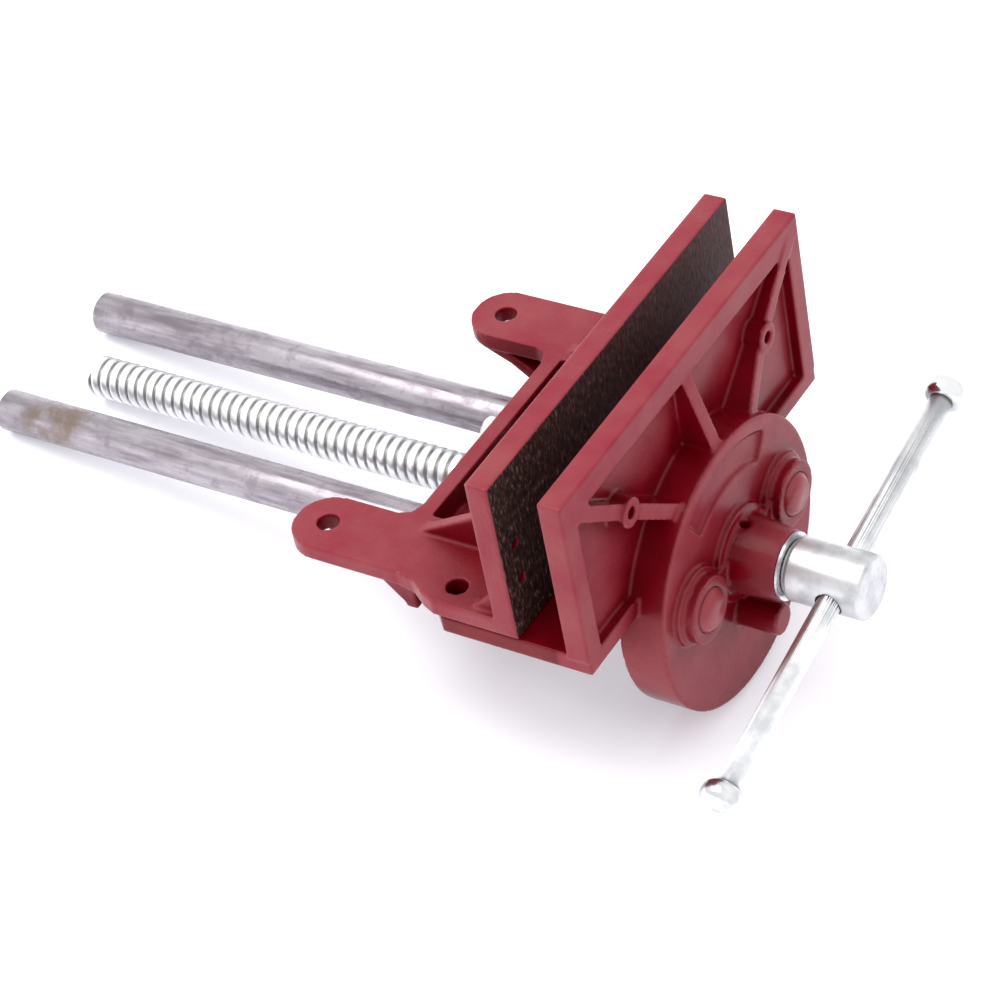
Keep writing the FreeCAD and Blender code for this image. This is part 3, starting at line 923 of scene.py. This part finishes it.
# ---------------------------------------------------------------------------
# Surroundings
# ---------------------------------------------------------------------------
@dataclass(frozen=True)
class Studio:
    """Plain pale floor with a soft light.

    The vise rests on the front drum and on the rear ends of its rods, so the
    floor slopes in the vise's own frame.

    Attributes:
        drum_rest: (Y, Z) of the drum's lowest point.
        rod_rest: (Y, Z) of the lowest point of the rods' rear ends.
        reach: Half of the floor's side.
        sink: Depth of the floor below the lowest points.
        paint: Colour of the floor.
        glow: Tint of the light that the floor gives back in the shadows.
        glow_strength: Strength of that light.
        sky: Strength of the even light from all sides.
        key_place: Position of the softbox.
        key_size: Side of the softbox.
        key_power: Power of the softbox in watts.
    """

    drum_rest: tuple[float, float] = (-27.0 * MM, -115.0 * MM)
    rod_rest: tuple[float, float] = (357.0 * MM, -42.0 * MM)
    reach: float = 6.0
    sink: float = 0.4 * MM
    paint: Colour = (0.950, 0.950, 0.980)
    glow: Colour = (0.86, 0.86, 1.0)
    glow_strength: float = 0.16
    sky: float = 1.25
    key_place: Point = (-0.35, 0.75, 1.9)
    key_size: float = 1.6
    key_power: float = 27.0

    def normal(self) -> Vector:
        """Return the floor's upward normal."""
        rise = Vector((0.0, *self.rod_rest)) - Vector((0.0, *self.drum_rest))
        return Vector((1.0, 0.0, 0.0)).cross(rise).normalized()

    def build(self) -> None:
        """Add the floor, the world and the light."""
        mesh = bmesh.new()
        up = self.normal()
        foot = Vector((0.0, *self.drum_rest)) - up * self.sink
        across = Vector((1.0, 0.0, 0.0))
        along = up.cross(across)
        bmesh.ops.create_grid(mesh, x_segments=2, y_segments=2, size=self.reach)
        turn = Matrix((across, along, up)).transposed().to_4x4()
        bmesh.ops.transform(mesh, matrix=Matrix.Translation(foot) @ turn, verts=mesh.verts)
        floor = new_piece("floor", mesh)
        shader = Shader("floor_matte")
        shader.set(
            Base_Color=self.paint, Roughness=0.9, Specular_IOR_Level=0.1,
            Emission_Color=self.glow, Emission_Strength=self.glow_strength)
        floor.data.materials.append(shader.material)
        self.world()
        self.softbox(foot)

    def world(self) -> None:
        """Light everything evenly with a pale sky."""
        world = bpy.data.worlds.new("studio")
        bpy.context.scene.world = world
        world.use_nodes = True
        background = world.node_tree.nodes["Background"]
        background.inputs["Color"].default_value = (1.0, 1.0, 1.0, 1.0)
        background.inputs["Strength"].default_value = self.sky
        bpy.context.scene.view_settings.view_transform = "Standard"

    def softbox(self, target: Vector) -> None:
        """Add the square key light.

        Args:
            target: Point it faces.
        """
        place = Vector(self.key_place)
        data = bpy.data.lights.new("key", "AREA")
        data.size = self.key_size
        data.energy = self.key_power
        light = bpy.data.objects.new("key", data)
        light.location = place
        light.rotation_euler = (target - place).to_track_quat("-Z", "Y").to_euler()
        bpy.context.scene.collection.objects.link(light)


@dataclass(frozen=True)
class Viewpoint:
    """A camera set by angles about the vise.

    Attributes:
        azimuth: Degrees round from the front.
        elevation: Degrees above the jaws' level.
        roll: Degrees of tilt of the picture.
        distance: Distance along the view, in metres.
        aside: Sideways and upward offsets in the picture, in metres.
        lift: Height of the jaw tops, which the offsets count from.
        lens: Focal length in millimetres.
        sensor: Width of the sensor in millimetres.
    """

    azimuth: float = -51.25
    elevation: float = 40.41
    roll: float = -11.96
    distance: float = 1.55149
    aside: tuple[float, float] = (-0.05102, -0.07422)
    lift: float = 82.0 * MM
    lens: float = 122.096
    sensor: float = 36.0

    def build(self) -> bpy.types.Object:
        """Add the camera and make it the scene's own.

        Returns:
            The camera.
        """
        turn, rise, roll = map(math.radians, (self.azimuth, self.elevation, self.roll))
        back = Vector((
            math.sin(turn) * math.cos(rise), -math.cos(turn) * math.cos(rise), math.sin(rise)))
        level = Vector((0.0, 0.0, 1.0)).cross(back).normalized()
        upright = back.cross(level)
        right = level * math.cos(roll) + upright * math.sin(roll)
        upward = back.cross(right)
        place = back * self.distance + right * self.aside[0] + upward * self.aside[1]
        place.z += self.lift
        data = bpy.data.cameras.new("camera")
        data.lens = self.lens
        data.sensor_width = self.sensor
        camera = bpy.data.objects.new("camera", data)
        turned = Matrix((right, upward, back)).transposed().to_4x4()
        camera.matrix_world = Matrix.Translation(place) @ turned
        bpy.context.scene.collection.objects.link(camera)
        bpy.context.scene.camera = camera
        return camera


def main() -> None:
    """Build every sub-assembly, then the surroundings and the camera."""
    logging.basicConfig(level=logging.INFO, format="%(message)s")
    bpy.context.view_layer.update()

    rod = DrawnSteel(paint_y=-59.8 * MM)
    rusty_rod = DrawnSteel(paint_y=-59.8 * MM, rust_at=(-46.0 * MM, 322.0 * MM, -20.0 * MM))
    steel = DrawnSteel()
    zinc = ZincPlate(bright=(0.82, 0.825, 0.84), cloudy=(0.60, 0.61, 0.63), low=0.26, high=0.38)
    # The washer's corners get a darker painted shade.
    washer_plate = ZincPlate(groove_shade=(0.30, 0.29, 0.28))
    head_plate = ZincPlate(
        bright=(0.62, 0.625, 0.64), cloudy=(0.46, 0.47, 0.49), low=0.28, high=0.44)
    parts = [
        CastPart(
            # Rear casting: painted shade on its faces below Z -34 mm, and a dark clamping face.
            "rear_jaw_casting", Body.BODY, cell=0.8 * MM, passes=4, kept=0.3,
            finish=Enamel(shade_below_z=-34.0 * MM, clamp_y=0.0)),
        CastPart(
            # Front casting: painted shade on its faces behind Y -20 mm.
            "front_jaw_casting", Body.FRONT_JAW, cell=0.8 * MM, passes=4, kept=0.3,
            finish=Enamel(shade_behind_y=-20.0 * MM)),
        CastPart(
            "screw_head", Body.SCREW, cell=0.4 * MM, passes=4, kept=0.5,
            finish=head_plate, slot=Slot.ZINC_PLATE),
        LeadScrew(),
        BarKnob("bar_knob_low", distance=-128.0 * MM, outward=-1),
        BarKnob("bar_knob_high", distance=117.5 * MM, outward=1),
        RoundPart("guide_rod_left", Body.FRONT_JAW, rusty_rod, Slot.BRIGHT_STEEL),
        RoundPart("guide_rod_right", Body.FRONT_JAW, rod, Slot.BRIGHT_STEEL),
        RoundPart("tommy_bar", Body.BAR, zinc, Slot.ZINC_PLATE),
        RoundPart("thrust_washer", Body.SCREW, washer_plate, Slot.BRIGHT_STEEL),
        RoundPart("retaining_collar", Body.SCREW, steel, Slot.BRIGHT_STEEL),
        RoundPart("nut", Body.BODY, PlainMetal(), Slot.NUT_IRON),
    ]
    for part in parts:
        piece = part.build()
        log.info("built %s", piece.name)

    KeptNodes({
        "rod_pins": (steel, Slot.BRIGHT_STEEL),
        "collar_pin": (steel, Slot.BRIGHT_STEEL),
        "nut_bolts": (zinc, Slot.FASTENER_ZINC),
        "nut_washers": (zinc, Slot.FASTENER_ZINC),
        "head_pin": (zinc, Slot.ZINC_PLATE),
    }).build()

    Studio().build()
    Viewpoint().build()


if __name__ == "__main__":
    main()
